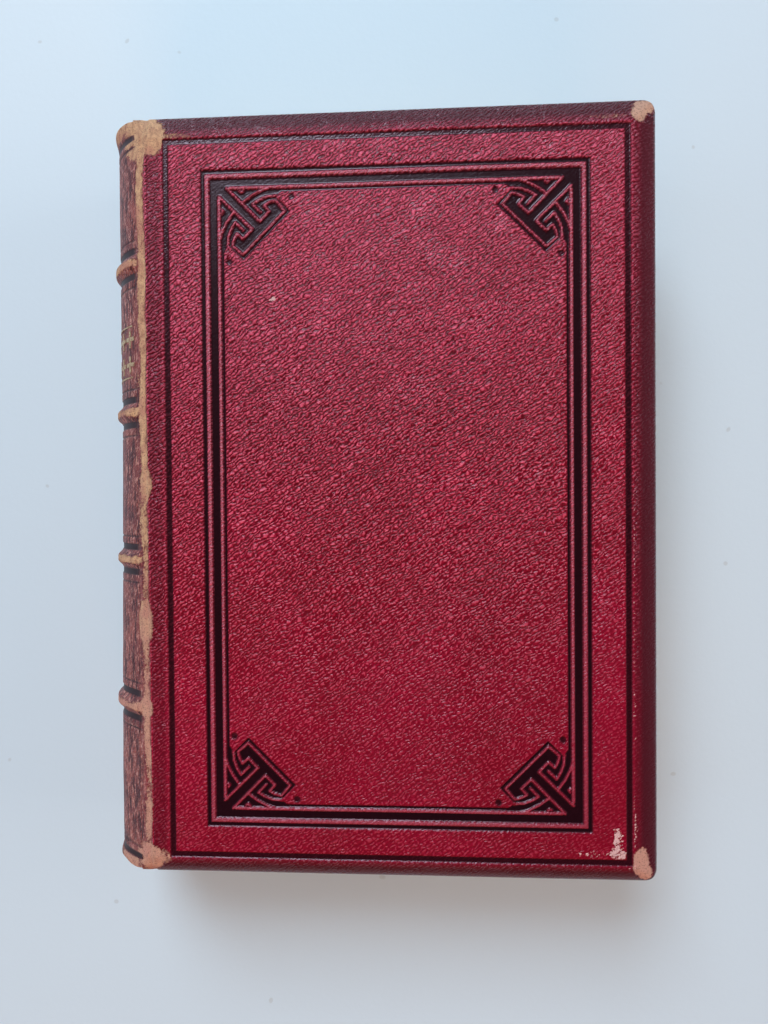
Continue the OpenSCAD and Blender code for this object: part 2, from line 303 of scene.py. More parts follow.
# Places rubbed to suede on the front cover: x and y of the middle, reach in x and y, and how bare it is
COVER_RUBS = [
    (JOINT_X - 2.0, HALF_H - 4.5, 6.0, 7.5, 1.0),
    (JOINT_X + 1.6, HALF_H - 6.0, 4.2, 5.4, 0.95),
    (JOINT_X + 6.0, HALF_H - 6.2, 7.0, 1.3, 0.68),
    (JOINT_X - 1.4, 4.5 - HALF_H, 4.6, 4.4, 0.95),
    (JOINT_X + 2.4, 5.0 - HALF_H, 3.0, 2.4, 0.72),
    (JOINT_X - 1.6, -32.0, 2.6, 7.0, 0.95),
    (JOINT_X - 1.6, -54.0, 2.4, 3.4, 0.9),
    (JOINT_X - 0.9, 3.5, 2.2, 5.0, 0.9),
    (FORE - 3.2, HALF_H - 2.4, 3.4, 2.2, 0.85),
    (FORE - 4.6, HALF_H - 4.4, 2.2, 2.6, 0.92),
    (FORE - 12.0, HALF_H - 5.0, 6.0, 0.8, 0.60),
    (FORE - 4.6, 5.8 - HALF_H, 2.4, 4.2, 1.0),
    (FORE - 3.4, 3.0 - HALF_H, 2.2, 2.4, 0.9),
]
# Places scuffed pale on the front cover
COVER_SCUFFS = [
    (FORE - 10.6, 11.6 - HALF_H, 0.9, 3.8, 1.0),
    (FORE - 10.2, 8.0 - HALF_H, 3.0, 1.7, 0.9),
    (FORE - 17.5, 7.8 - HALF_H, 5.5, 1.0, 0.62),
    (FORE - 9.4, 11.0 - HALF_H, 0.8, 3.0, 0.66),
    (FORE - 6.0, 14.0 - HALF_H, 0.5, 6.0, 0.74),
    (-24.0, 49.6, 0.9, 0.9, 1.0),
    (-13.0, -63.0, 0.35, 3.6, 0.56),
    (20.0, 20.0, 0.4, 0.5, 0.62),
    (58.0, -55.0, 0.6, 1.6, 0.60),
]


def spread(x, y, places):
    """The strongest of several soft-edged places, at each point."""
    strength = np.zeros(np.broadcast(x, y).shape)
    for middle_x, middle_y, reach_x, reach_y, most in places:
        away = np.hypot((x - middle_x) / reach_x, (y - middle_y) / reach_y)
        strength = np.maximum(strength, most * (1 - smooth((away - 0.6) / 0.7)))
    return strength


def cover_wear(x, y):
    """How bare the leather is over the cover and its joint: 0 is sound and 1 is suede."""
    wear = spread(x, y, COVER_RUBS)
    joint_middle = JOINT_X - 1.5 + 0.4 * ripple(y, 0, 11, 34)
    reach = 1.55 + 0.35 * ripple(y, 0, 12, 21)
    joint = 0.92 - 0.16 * smooth((20 - y) / 30) + 0.14 * ripple(y, 0, 13, 19)
    wear = np.maximum(wear, joint * np.exp(-np.abs((x - joint_middle) / reach) ** 3))
    edge = edge_distance(x, y)
    return np.maximum(wear, 0.42 * (1 - smooth(edge / 1.1)))


def cover_scuffs_and_pale_strip(x, y):
    """How pale the leather's surface is made: scuffed short of bare suede at the listed places, and a strip
    just outside the ridge line.
    """
    scuffs = spread(x, y, COVER_SCUFFS)
    # A pale strip runs just outside the ridge line, along the fore-edge and towards the tail.
    ridge = np.abs(box_depth(x, y, RIDGE_LOW, RIDGE_HIGH) + RIDGE_LINE_W / 2 + 0.5)
    side = smooth((x - RIDGE_HIGH[0] + 2) / 1.5) * (0.2 + 0.8 * smooth((50 - y) / 60))
    foot = 0.6 * smooth((RIDGE_LOW[1] + 2 - y) / 1.5)
    return np.maximum(scuffs, 0.5 * np.maximum(side, foot) * (1 - smooth(ridge / 0.8)))


def spine_wear(angle, y):
    """How bare the spine is, at an angle in degrees from its middle towards the front cover."""
    wear = np.zeros(np.broadcast(angle, y).shape)
    for band_y in BAND_YS:
        top = np.exp(-((y - band_y) / 1.5) ** 2)
        wear = np.maximum(wear, top * (0.96 + 0.2 * ripple(angle, y, 17, 22)))
    ends = np.maximum(1 - smooth((HALF_H - 1.5 - y) / 5), 1 - smooth((y + HALF_H - 1.5) / 6))
    wear = np.maximum(wear, ends * (0.72 + 0.22 * ripple(angle, y, 18, 26)))
    joint = smooth((np.abs(angle) - 49) / 8)
    wear = np.maximum(wear, joint * (0.62 + 0.2 * ripple(y, 0, 19, 18)))
    return wear


# -------------------- meshes


def grid_faces(index):
    """Faces between the points of a grid, from their numbers."""
    return np.stack([index[:-1, :-1], index[1:, :-1], index[1:, 1:], index[:-1, 1:]], -1).reshape(-1, 4)


def loop_faces(upper, lower):
    """Faces between two closed loops of as many points."""
    return np.stack([upper, lower, np.roll(lower, -1), np.roll(upper, -1)], -1)


def border(index):
    """A grid's outermost points, once round."""
    return np.concatenate([index[:, 0], index[-1, 1:], index[-2::-1, -1], index[0, -2:0:-1]])


def make_piece(name, points, faces, materials, layers=None, face_material=None):
    """A closed mesh from points in millimetres, with its place at rest and its layers as attributes."""
    points = np.asarray(points, float)
    mesh = bpy.data.meshes.new(name)
    mesh.from_pydata((points * MM).tolist(), [], [list(map(int, face)) for face in faces])
    for material in materials:
        mesh.materials.append(material)
    if face_material is not None:
        mesh.polygons.foreach_set("material_index", np.asarray(face_material, np.int32))
    rest = mesh.attributes.new("rest", "FLOAT_VECTOR", "POINT")
    rest.data.foreach_set("vector", points.astype(np.float32).ravel())
    for layer, values in (layers or {}).items():
        attribute = mesh.attributes.new(layer, "FLOAT", "POINT")
        attribute.data.foreach_set("value", np.asarray(values, np.float32).ravel())
    shell = bmesh.new()
    shell.from_mesh(mesh)
    bmesh.ops.recalc_face_normals(shell, faces=shell.faces)
    shell.to_mesh(mesh)
    shell.free()
    mesh.shade_smooth()
    piece = bpy.data.objects.new(name, mesh)
    bpy.context.scene.collection.objects.link(piece)
    return piece


def lines_between(stops):
    """Grid lines through a list of (place, step up to the next place)."""
    lines = [stops[0][0]]
    for (start, step), (end, _) in zip(stops, stops[1:]):
        count = max(1, math.ceil((end - start) / step - 1e-6))
        lines += list(start + (end - start) * (k + 1) / count for k in range(count))
    return np.array(lines)


def at_back(points):
    """Mirrors points of the front into the back of the book."""
    turned = np.array(points, float)
    turned[..., 2] = TOP - turned[..., 2]
    return turned


# The grid's step over the ornaments, and its lines over a round edge, by how far in they are
FINE = 0.3
EDGE_STEPS = np.array([EDGE_ROUND, 0.62, 0.4, 0.22, 0.09, 0])


def tooled_lines(axis, start, first_step, middle_step, end):
    """Grid lines across (axis 0) or up (axis 1) a cover, closest where it is tooled."""
    ridge_low, frame_low = RIDGE_LOW[axis], FRAME_LOW[axis]
    ridge_high, frame_high = RIDGE_HIGH[axis], FRAME_HIGH[axis]
    fret = BROAD_BAND[1] + FRET_REACH
    return lines_between([
        (start, first_step), (ridge_low - 1.2, 0.2), (ridge_low + 1.2, 0.9),
        (frame_low - 1, 0.27), (frame_low + 6, FINE), (frame_low + fret, middle_step),
        (frame_high - fret, FINE), (frame_high - 6, 0.27), (frame_high + 1, 0.9),
        (ridge_high - 1.2, 0.2), (ridge_high + 1.4, 0.6), (end, 1),
    ])


def cover_grid():
    """The grid of a cover's face, as x and y."""
    flat = EDGE_STEPS[0]
    rounds = EDGE_STEPS[1:]
    columns = tooled_lines(0, BOARD_X, 0.55, 1.3, FORE - flat)
    rows = tooled_lines(1, flat - HALF_H, 0.6, 1.4, HALF_H - flat)
    rows = np.concatenate([rounds[::-1] - HALF_H, rows, HALF_H - rounds])
    return np.meshgrid(np.append(columns, FORE - rounds), rows, indexing="ij")


def round_corners(x, y):
    """Presses the square corners of a grid into a cover's round ones."""
    a = (x - (FORE - CORNER_R)) / CORNER_R
    b = (np.abs(y) - (HALF_H - CORNER_R)) / CORNER_R
    corner = (a > 0) & (b > 0)
    round_a = a * np.sqrt(np.clip(1 - b ** 2 / 2, 0, 1))
    round_b = b * np.sqrt(np.clip(1 - a ** 2 / 2, 0, 1))
    x = np.where(corner, FORE - CORNER_R + round_a * CORNER_R, x)
    y = np.where(corner, np.sign(y) * (HALF_H - CORNER_R + round_b * CORNER_R), y)
    return x, y


# A cover's leather from its edge to the board it wraps: how far in, and how high over the cover's inner face
COVER_WRAP = [
    (0.0, 0.75), (0.12, 0.3), (0.45, 0.05), (1.0, 0.0), (12.7, 0.0), (13.0, 0.12), (13.0, 0.4),
    (1.1, 0.42), (0.92, 0.8), (0.92, 1.5), (6.9, 4.05),
]
JOINT_INSET = 0.02


def cover_leather(name, material, back=False):
    """The leather over one board: its tooled face, its bevels, its round edges and its turned-in border."""
    x, y = round_corners(*cover_grid())
    drop, layers = cover_drop(x, y)
    sound = (1 - 0.9 * layers["tool"]) * (0.75 if back else 1)
    layers["wear"] = cover_wear(x, y) * sound
    layers["scuff_and_pale_strip"] = cover_scuffs_and_pale_strip(x, y) * sound
    layers["fade"] = np.zeros(x.shape)
    top = np.stack([x, y, TOP - drop], -1)
    index = np.arange(x.size).reshape(x.shape)
    faces = [grid_faces(index)]
    points = [top.reshape(-1, 3)]
    values = {layer: [value.ravel()] for layer, value in layers.items()}
    edge = border(index)
    outline = points[0][edge]
    width = FORE - BOARD_X
    upper = edge
    count = len(edge)
    for step, (inset, height) in enumerate(COVER_WRAP):
        loop = outline.copy()
        share = (loop[:, 0] - BOARD_X) / width
        loop[:, 0] = BOARD_X + inset * JOINT_INSET + share * (width - inset * (1 + JOINT_INSET))
        loop[:, 1] *= (HALF_H - inset) / HALF_H
        loop[:, 2] = INNER + height
        lower = np.arange(count) + x.size + step * count
        faces.append(loop_faces(upper, lower))
        points.append(loop)
        for layer, value in values.items():
            kept = value[0][edge] if layer in ("wear", "bevel") and inset < 0.5 else np.zeros(count)
            value.append(kept)
        upper = lower
    all_faces = [face for part in faces for face in part.tolist()] + [upper.tolist()]
    points = np.concatenate(points)
    if back:
        points = at_back(points)
    painted = {layer: np.concatenate(value) for layer, value in values.items()}
    return make_piece(name, points, all_faces, [material], painted)


# -------------------- spine

CAP_T = 1.2
CAP_FLARE = 0.8
TAIL_BULGE = 1.0
CAP_ROUND = 0.6
# Where bands, the caps' flare and their depth start to fade, in degrees from the spine's middle
BANDS_FROM = 50
BANDS_FADE = 7
FLARE_FROM = 30
DEPTH_FROM = 42
# Tooled lines beside each band: how far from its middle, and half the width
BAND_LINES = [(3.2, 0.85), (6.0, 0.25)]
BAND_REACH = 6.8
# Tooled lines near head and tail: y, half the width, and how far off its middle the grid has lines
END_LINES = [
    (HALF_H - 4.8, 0.9, (0.4, 1.0)), (HALF_H - 7.4, 0.3, (0.3,)),
    (6.2 - HALF_H, 0.3, (0.3,)), (3.6 - HALF_H, 0.9, (0.4, 1.0)),
]


def spine_at(radius, angle, y):
    """A point at a radius from the spine's axis, at an angle in degrees towards the front cover."""
    turn = np.radians(angle)
    x, y, z = np.broadcast_arrays(SPINE_X - radius * np.cos(turn), y, MID_Z + radius * np.sin(turn))
    return np.stack([x, y, z], -1)


def spine_rise(angle, y):
    """How far the spine's skin stands off its round, and how black its tooled lines are."""
    fade = 1 - smooth((np.abs(angle) - BANDS_FROM) / BANDS_FADE)
    rise = np.zeros(np.broadcast(angle, y).shape)
    black = rise.copy()
    for band_y in BAND_YS:
        away = np.abs(y - band_y)
        rise = np.maximum(rise, BAND_RISE * fade * (1 - smooth((away - 0.6) / 1.7)))
        black = np.maximum(black, within(away - BAND_LINES[0][0], BAND_LINES[0][1]) * fade)
        black = np.maximum(black, 0.7 * within(away - BAND_LINES[1][0], BAND_LINES[1][1], 0.25) * fade)
    for line_y, half_width, _ in END_LINES:
        black = np.maximum(black, within(y - line_y, half_width) * fade)
    rise = rise + TAIL_BULGE * smooth((30 - y) / 110) * (1 - smooth((np.abs(angle) - 25) / 25))
    rise = rise - 0.22 * black + 0.04 * ripple(angle * 0.43, y, 21, 16) - 0.04
    return rise, black


def spine_rows():
    """Grid lines up the spine between its caps, closest at its bands and its tooled lines."""
    stops = []
    low = CAP_T - HALF_H
    for band_y in reversed(BAND_YS):
        stops += [(low, 0.9), (band_y - BAND_REACH, 0.24)]
        low = band_y + BAND_REACH
    stops += [(low, 0.9), (HALF_H - CAP_T, 1)]
    beside = [y + side * off for y, _, offs in END_LINES for off in offs for side in (-1, 1)]
    return np.unique(np.round(np.append(lines_between(stops), beside), 3))


def skin_section(angle):
    """Outer and inner points of the spine leather at one angle, as (radius, y) lists of equal length."""
    flare = CAP_FLARE * (1 - smooth((abs(angle) - FLARE_FROM) / (SKIN_ANGLE - FLARE_FROM)))
    depth = 1 - smooth((abs(angle) - DEPTH_FROM) / (SKIN_ANGLE - DEPTH_FROM))
    cap_in = STIFFENER_R + (MULL_R - STIFFENER_R) * depth
    rows = spine_rows()
    rise, _ = spine_rise(angle, rows)
    lean = flare * np.exp(-((HALF_H - np.abs(rows)) / 2.2) ** 2)
    outer_r = SPINE_R + rise + lean
    top_r = SPINE_R - 0.04 + flare
    turns = np.radians([15, 35, 55, 75, 90])
    rounding = 0.55
    base = HALF_H - CAP_T
    cap = [(top_r + rounding * (math.cos(t) - 1), HALF_H + rounding * (math.sin(t) - 1)) for t in turns]
    cap += [(cap_in + 0.4, HALF_H), (cap_in + 0.08, HALF_H - 0.18), (cap_in, HALF_H - 0.5), (cap_in, base)]
    cap_inner = [(STIFFENER_R, base)] * len(turns)
    cap_inner += [(STIFFENER_R - 0.02 * (k + 1), base - 0.02 * k) for k in range(4)]
    outer = [(r, -y) for r, y in reversed(cap)] + list(zip(outer_r, rows)) + cap
    inner_r = np.maximum(outer_r - LEATHER_T, STIFFENER_R)
    inner = [(r, -y) for r, y in reversed(cap_inner)] + list(zip(inner_r, rows)) + cap_inner
    return np.array(outer), np.array(inner)


def thick_patch(outer, inner):
    """Points and faces of a closed skin between two grids of as many points."""
    index = np.arange(outer.shape[0] * outer.shape[1]).reshape(outer.shape[:2])
    behind = index + index.size
    edge = border(index)
    faces = np.concatenate([grid_faces(index), grid_faces(behind), loop_faces(edge, edge + index.size)])
    points = np.concatenate([outer.reshape(-1, 3), inner.reshape(-1, 3)])
    return points, faces.tolist()


def draw_in(line, angle):
    """Draws a line of the skin in at head and tail, most where the caps meet the joints."""
    reach = CAP_ROUND * math.exp(-((abs(angle) - SKIN_ANGLE) / 5.5) ** 2)
    y = line[:, 1]
    line[:, 1] = y - np.sign(y) * reach * smooth((np.abs(y) - HALF_H + 6) / 6)
    return line


def skin_piece(name, material, outer, inner, layers, back=False):
    """A closed skin from its outer and inner lines, with the same layers on both sides."""
    points, faces = thick_patch(np.array(outer), np.array(inner))
    if back:
        points = at_back(points)
    painted = {layer: np.tile(np.array(value).ravel(), 2) for layer, value in layers.items()}
    return make_piece(name, points, faces, [material], painted)


def spine_skin(material):
    """The leather over the raised bands, with its caps at head and tail."""
    angles = np.linspace(-SKIN_ANGLE, SKIN_ANGLE, 91)
    outer, inner = [], []
    layers = {"tool": [], "wear": [], "fade": [], "grain": []}
    for angle in angles:
        outside, inside = skin_section(angle)
        line = draw_in(spine_at(outside[:, 0], angle, outside[:, 1]), angle)
        outer.append(line)
        inner.append(draw_in(spine_at(inside[:, 0], angle, inside[:, 1]), angle))
        _, black = spine_rise(angle, outside[:, 1])
        wear = spine_wear(angle, outside[:, 1])
        if angle > 0:
            wear = np.maximum(wear, cover_wear(line[:, 0], outside[:, 1]))
        layers["tool"].append(black)
        layers["wear"].append(wear * (1 - 0.8 * black))
        layers["fade"].append(np.ones(len(outside)))
        layers["grain"].append(np.full(len(outside), 0.4))
    return skin_piece("spine_skin", material, outer, inner, layers)


def joint_skin(name, material, back=False):
    """The leather of one joint, from the spine over the hinge to the board."""
    arc = np.linspace(SKIN_ANGLE, JOINT_ANGLE, 22)
    rows = np.concatenate([[-HALF_H], spine_rows(), [HALF_H]])
    outer, inner = [], []
    layers = {"tool": [], "wear": [], "fade": [], "grain": []}
    flat_steps = [0.1, 0.2, BOARD_X - JOINT_X]
    board_x = np.full(rows.shape, BOARD_X)
    drop, cover_layers = cover_drop(board_x, rows)
    end_drop = BEVEL_DROP * bevel_share(board_x, rows) ** BEVEL_CURVE
    heights = np.sin(np.radians(arc))
    for step in range(len(arc) + len(flat_steps)):
        on_arc = step < len(arc)
        angle = arc[min(step, len(arc) - 1)]
        fade = smooth(step / (len(arc) - 1))
        rise, black = spine_rise(angle, rows)
        valley = 0.3 * math.exp(-((angle - JOINT_ANGLE + 2.5) / 1.6) ** 2) if on_arc else 0
        line = draw_in(spine_at(SPINE_R + rise * (1 - fade) - valley, angle, rows), angle)
        under = draw_in(spine_at(SPINE_R + rise * (1 - fade) - LEATHER_T, angle, rows), angle)
        if not on_arc:
            line[:, 0] += flat_steps[step - len(arc)]
            under = line - [0, 0, LEATHER_T]
        climb = (math.sin(math.radians(angle)) - heights[0]) / (heights[-1] - heights[0])
        sunk = (drop - end_drop) * fade + end_drop * climb
        line[:, 2] -= sunk
        under[:, 2] -= np.maximum(sunk, 0)
        outer.append(line)
        inner.append(under)
        joint = cover_wear(line[:, 0], rows)
        wear = np.maximum(joint, spine_wear(angle, rows) * (1 - fade))
        layers["wear"].append(wear * (1 - 0.8 * black))
        layers["tool"].append(black)
        layers["fade"].append(np.full(rows.shape, 1 - fade))
        layers["grain"].append(0.4 + (cover_layers["grain"] - 0.4) * fade)
    return skin_piece(name, material, outer, inner, layers, back)


# -------------------- leaves

# The cuts through the folds for the cords and the kettle stitches
KERF_W = 1.2
KERF_T = 0.9
CORDS = 5
CORD_YS = [LEAF_HALF_H * (1 - 2 * i / (CORDS + 1)) for i in range(1, CORDS + 1)]
KETTLE_Y = LEAF_HALF_H - 10
# Where a turning leaf's close grid lines near its fold end
BEND_END = JOINT_X + 10.0


def leaf_rows(notched):
    """Grid lines along a leaf's height, with pairs of lines at each cut for a cord."""
    rows = list(np.linspace(-LEAF_HALF_H, LEAF_HALF_H, 15))
    if notched:
        for middle in CORD_YS + [KETTLE_Y, -KETTLE_Y]:
            rows = [row for row in rows if abs(row - middle) > KERF_W]
            for side in (-1, 1):
                rows += [middle + side * KERF_W / 2, middle + side * (KERF_W / 2 + 0.02)]
    return np.array(sorted(rows))


def slab(name, low_x, high_x, low_z, high_z, leaves, materials, seed, turning, fold=0.0):
    """A stack of leaves between two heights, with a round fold and edges that aren't quite even.

    materials are for the upper side, the under side, the cut edges and the fold."""
    rows = leaf_rows(fold > 0)
    if turning:
        columns = lines_between([(low_x, 0.45), (BEND_END + 2, 6.5), (high_x - 2, 0.7), (high_x, 1)])
    else:
        columns = lines_between([(low_x, 3), (low_x + 3, 18), (high_x - 2, 0.7), (high_x, 1)])
    x, y = np.meshgrid(columns, rows, indexing="ij")
    index = np.arange(x.size).reshape(x.shape)
    edge = border(index)
    at_fold = np.isclose(x.ravel()[edge], low_x)
    notch = np.zeros(x.shape)
    if fold:
        for middle in CORD_YS + [KETTLE_Y, -KETTLE_Y]:
            notch = np.maximum(notch, (np.abs(y - middle) < KERF_W / 2 + 0.01) * KERF_T)
    rng = np.random.default_rng(seed)
    heights = np.linspace(low_z, high_z, leaves + 1)
    middle_z = (low_z + high_z) / 2

    def outline(z, jog, leaf):
        """One leaf's outline at height z."""
        px, py = x.copy(), y.copy()
        round_in = fold - math.sqrt(max(fold ** 2 - (z - middle_z) ** 2, 0))
        share = (px - low_x) / (high_x - low_x)
        # The high powers keep each change close to the fold or to the edge
        px = px + (1 - share) ** 40 * (round_in + notch)
        px = px - share ** 30 * (jog[0] + 0.05 * ripple(py, 0, seed + leaf, 70))
        py = py * (1 - (jog[1] + 0.02 * np.sign(py)) / LEAF_HALF_H)
        return np.stack([px, py, np.full(px.shape, z)], -1)

    jogs = rng.uniform(0.0, 0.07, (leaves, 2)) + rng.uniform(0, 0.06, 2)
    levels = []
    for leaf in range(leaves):
        levels += [(heights[leaf], jogs[leaf], leaf), (heights[leaf + 1], jogs[leaf], leaf)]
    bottom = outline(*levels[0])
    top = outline(*levels[-1])
    points = [bottom.reshape(-1, 3), top.reshape(-1, 3)]
    faces = [grid_faces(index)[:, ::-1], grid_faces(index + x.size)]
    face_material = [np.full(len(faces[0]), 1), np.full(len(faces[1]), 0)]
    lower = edge
    side_material = np.where(at_fold & np.roll(at_fold, -1), 3, 2)
    for level, (z, jog, leaf) in enumerate(levels[1:-1]):
        upper = np.arange(len(edge)) + 2 * x.size + level * len(edge)
        points.append(outline(z, jog, leaf).reshape(-1, 3)[edge])
        faces.append(loop_faces(upper, lower))
        face_material.append(side_material)
        lower = upper
    faces.append(loop_faces(edge + x.size, lower))
    face_material.append(side_material)
    return make_piece(
        name, np.concatenate(points), np.concatenate(faces).tolist(), materials,
        face_material=np.concatenate(face_material))


# -------------------- materials


class Nodes:
    """A node tree, with short ways to add nodes to it."""

    def __init__(self, owner):
        owner.use_nodes = True
        self.owner = owner
        self.tree = owner.node_tree

    def add(self, kind, output, inputs=None, **settings):
        """Adds a node and returns its named or numbered output, or several of them for a slice."""
        node = self.tree.nodes.new("ShaderNode" + kind)
        for setting, value in settings.items():
            setattr(node, setting, value)
        for socket, value in (inputs or {}).items():
            self.put(node.inputs[socket], value)
        return node.outputs[output]

    def put(self, socket, value):
        if isinstance(value, bpy.types.NodeSocket):
            self.tree.links.new(value, socket)
        elif hasattr(value, "__len__") and len(value) == 3 and socket.type == "RGBA":
            socket.default_value = (*value, 1)
        else:
            socket.default_value = value

    def math(self, operation, a, b=0.0, c=0.0, clamp=False):
        return self.add("Math", 0, {0: a, 1: b, 2: c}, operation=operation, use_clamp=clamp)

    def times(self, a, b):
        return self.math("MULTIPLY", a, b)

    def scaled(self, value, factor, more, clamp=False):
        """A value times a factor, plus more."""
        return self.math("MULTIPLY_ADD", value, factor, more, clamp)

    def uneven(self, value, factor, more=0.0, middle=0.5):
        """More, varied by how far a value lies from its middle."""
        return self.scaled(self.math("SUBTRACT", value, middle), factor, more)

    def inverse(self, value):
        return self.math("SUBTRACT", 1.0, value)

    def step(self, value, low, high, start=0.0, end=1.0, shape="SMOOTHSTEP"):
        """Goes from start to end as value goes from low to high, smoothly unless shape is LINEAR."""
        inputs = {"Value": value, "From Min": low, "From Max": high, "To Min": start, "To Max": end}
        return self.add("MapRange", "Result", inputs, interpolation_type=shape)

    def axes(self, vector):
        """A vector's x, y and z."""
        return self.add("SeparateXYZ", slice(0, 3), {0: vector})

    def offset(self, operation, a, b):
        return self.add("VectorMath", 0, {0: a, 1: b}, operation=operation)

    def resize(self, vector, factor):
        return self.add("VectorMath", 0, {0: vector, "Scale": factor}, operation="SCALE")


class Paint(Nodes):
    """A material's node tree, with its textures and its shader. Textures are laid out in millimetres."""

    def __init__(self, name):
        super().__init__(bpy.data.materials.new(name))
        self.shader = self.tree.nodes["Principled BSDF"]

    def mix(self, factor, a, b):
        """A colour between a and b."""
        return self.add("Mix", 2, {"Factor": factor, 6: a, 7: b}, data_type="RGBA")

    def tint(self, colour, other, amount, most=1.0):
        """A colour turned towards another, by an amount times the most that it may turn."""
        return self.mix(amount if most == 1.0 else self.times(amount, most), colour, other)

    def blend(self, factor, a, b):
        """A number between a and b."""
        return self.add("Mix", 0, {"Factor": factor, 2: a, 3: b}, data_type="FLOAT")

    def layer(self, name):
        return self.add("Attribute", "Fac", attribute_name=name)

    def rest(self):
        """Where a point of a made piece lies at rest."""
        return self.add("Attribute", "Vector", attribute_name="rest")

    def place(self):
        """Where a point of a CAD node lies."""
        return self.resize(self.add("TexCoord", "Object"), 1 / MM)

    def map(self, vector, scale=(1, 1, 1), turn=0.0, kind="POINT"):
        inputs = {"Vector": vector, "Rotation": (0, 0, turn), "Scale": scale}
        return self.add("Mapping", 0, inputs, vector_type=kind)

    def noise(self, vector, scale, detail=2.0, roughness=0.5, output="Fac"):
        inputs = {"Vector": vector, "Scale": scale, "Detail": detail, "Roughness": roughness}
        return self.add("TexNoise", output, inputs)

    def warp(self, vector, scale, amount):
        """Shifts a place by a soft noise."""
        noise = self.noise(vector, scale, 1.0, output="Color")
        shift = self.resize(self.offset("SUBTRACT", noise, (0.5, 0.5, 0.5)), amount)
        return self.offset("ADD", vector, shift)

    def cells(self, vector, scale, feature="F1", smoothness=0.4):
        inputs = {"Vector": vector, "Scale": scale}
        if feature == "SMOOTH_F1":
            inputs["Smoothness"] = smoothness
        return self.add("TexVoronoi", "Distance", inputs, feature=feature)

    def wave(self, place, pitch, drift, amount):
        """Rises and falls between 0 and 1 once in each pitch, out of step by a drift."""
        phase = self.scaled(drift, amount, self.times(place, math.tau / pitch))
        return self.scaled(self.math("SINE", phase), 0.5, 0.5)

    def finish(self, colour, rough, height, depth, metal=0.0):
        """The material, with a relief as deep as depth where height goes from 0 to 1."""
        bump = self.add("Bump", 0, {"Height": height, "Distance": depth * MM, "Strength": 1.0})
        values = {"Base Color": colour, "Roughness": rough, "Normal": bump, "Metallic": metal}
        for name, value in values.items():
            self.put(self.shader.inputs[name], value)
        return self.owner


GRAIN_SLANT = math.radians(33)
GRAIN_ROW = 0.86
GRAIN_BEAD = 1.45


def goat_grain(paint, rest):
    """Goatskin's pebbles in broken rows on a slant: their relief, the small ones alone, and the pores."""
    bent = paint.map(paint.warp(rest, 0.05, 2.5), turn=GRAIN_SLANT, kind="TEXTURE")
    along, across, _ = paint.axes(bent)
    row = paint.wave(across, GRAIN_ROW, paint.noise(paint.map(bent, (0.55, 0.70, 0.5)), 1.0, 1.5), 14.0)
    bead = paint.wave(along, GRAIN_BEAD, paint.noise(paint.map(bent, (0.6, 1.1, 0.5)), 1.0, 1.5), 15.0)
    small = paint.step(paint.cells(paint.map(bent, (1.1, 1.9, 1.2)), 1.0, "SMOOTH_F1", 0.3), 0.65, 0.1)
    pores = paint.noise(rest, 4.5, 3.0, 0.6)
    relief = paint.times(row, paint.scaled(bead, 0.52, 0.18))
    relief = paint.scaled(small, 0.18, relief)
    return paint.scaled(pores, 0.12, relief), small, pores


def crimson_dye_and_painted_light(paint, rest, relief, patch, grain):
    """The dyed face, with painted shade and some dirt in its creases, painted highlight and some wear on its
    crests, a painted sheen towards the head, painted shade towards the tail and painted shade on the bevels.
    """
    broad = paint.noise(rest, 0.03, 3.0, 0.55)
    dye_and_light = paint.mix(paint.step(broad, 0.35, 0.68), (0.290, 0.0016, 0.019), (0.368, 0.0024, 0.030))
    dye_and_light = paint.tint(dye_and_light, (0.185, 0.0010, 0.011), paint.step(patch, 0.5, 0.8), 0.3)
    # Painted shade, with some dirt: the grain's creases are darkened in colour.
    crease_shade_and_dirt = paint.times(paint.step(relief, 0.37, 0.12), grain)
    dye_and_light = paint.tint(dye_and_light, (0.085, 0.0004, 0.0040), crease_shade_and_dirt, 0.95)
    # Painted highlight, with some wear: the grain's crests are paler and pinker in colour.
    crest_highlight_and_wear = paint.times(paint.step(relief, 0.38, 0.70), grain)
    dye_and_light = paint.tint(dye_and_light, (0.85, 0.108, 0.190), crest_highlight_and_wear, 0.78)
    x, y, _ = paint.axes(rest)
    headward = paint.scaled(x, -0.4, y)
    # Painted sheen: the crests are paler and pinker towards the head and the spine side.
    painted_sheen = paint.times(paint.step(headward, -20.0, 95.0), paint.step(relief, 0.12, 0.45))
    dye_and_light = paint.tint(dye_and_light, (0.70, 0.150, 0.265), painted_sheen, 0.42)
    # Painted shade: the leather is darker towards the tail.
    dye_and_light = paint.tint(dye_and_light, (0.140, 0.0030, 0.012), paint.step(headward, -10.0, -80.0), 0.28)
    # Painted shade: darker on the bevels, and on a strip beside the joint.
    return paint.tint(dye_and_light, (0.050, 0.0028, 0.0080), paint.layer("bevel"), 0.9)


def faded_dye(paint, rest, patch):
    """The spine's face: faded to brown, flaked pale and cracked along its height."""
    flaked = paint.step(paint.noise(paint.map(rest, (1.0, 0.5, 1.0)), 1.2, 4.0, 0.72), 0.50, 0.60)
    cracks = paint.step(paint.noise(paint.map(rest, (1.0, 0.2, 1.0)), 0.85, 5.0, 0.72), 0.49, 0.56)
    faded = paint.mix(paint.step(patch, 0.35, 0.7), (0.165, 0.034, 0.035), (0.290, 0.080, 0.068))
    faded = paint.tint(faded, (0.56, 0.260, 0.215), flaked, 0.8)
    return paint.tint(faded, (0.052, 0.012, 0.016), cracks, 0.92)


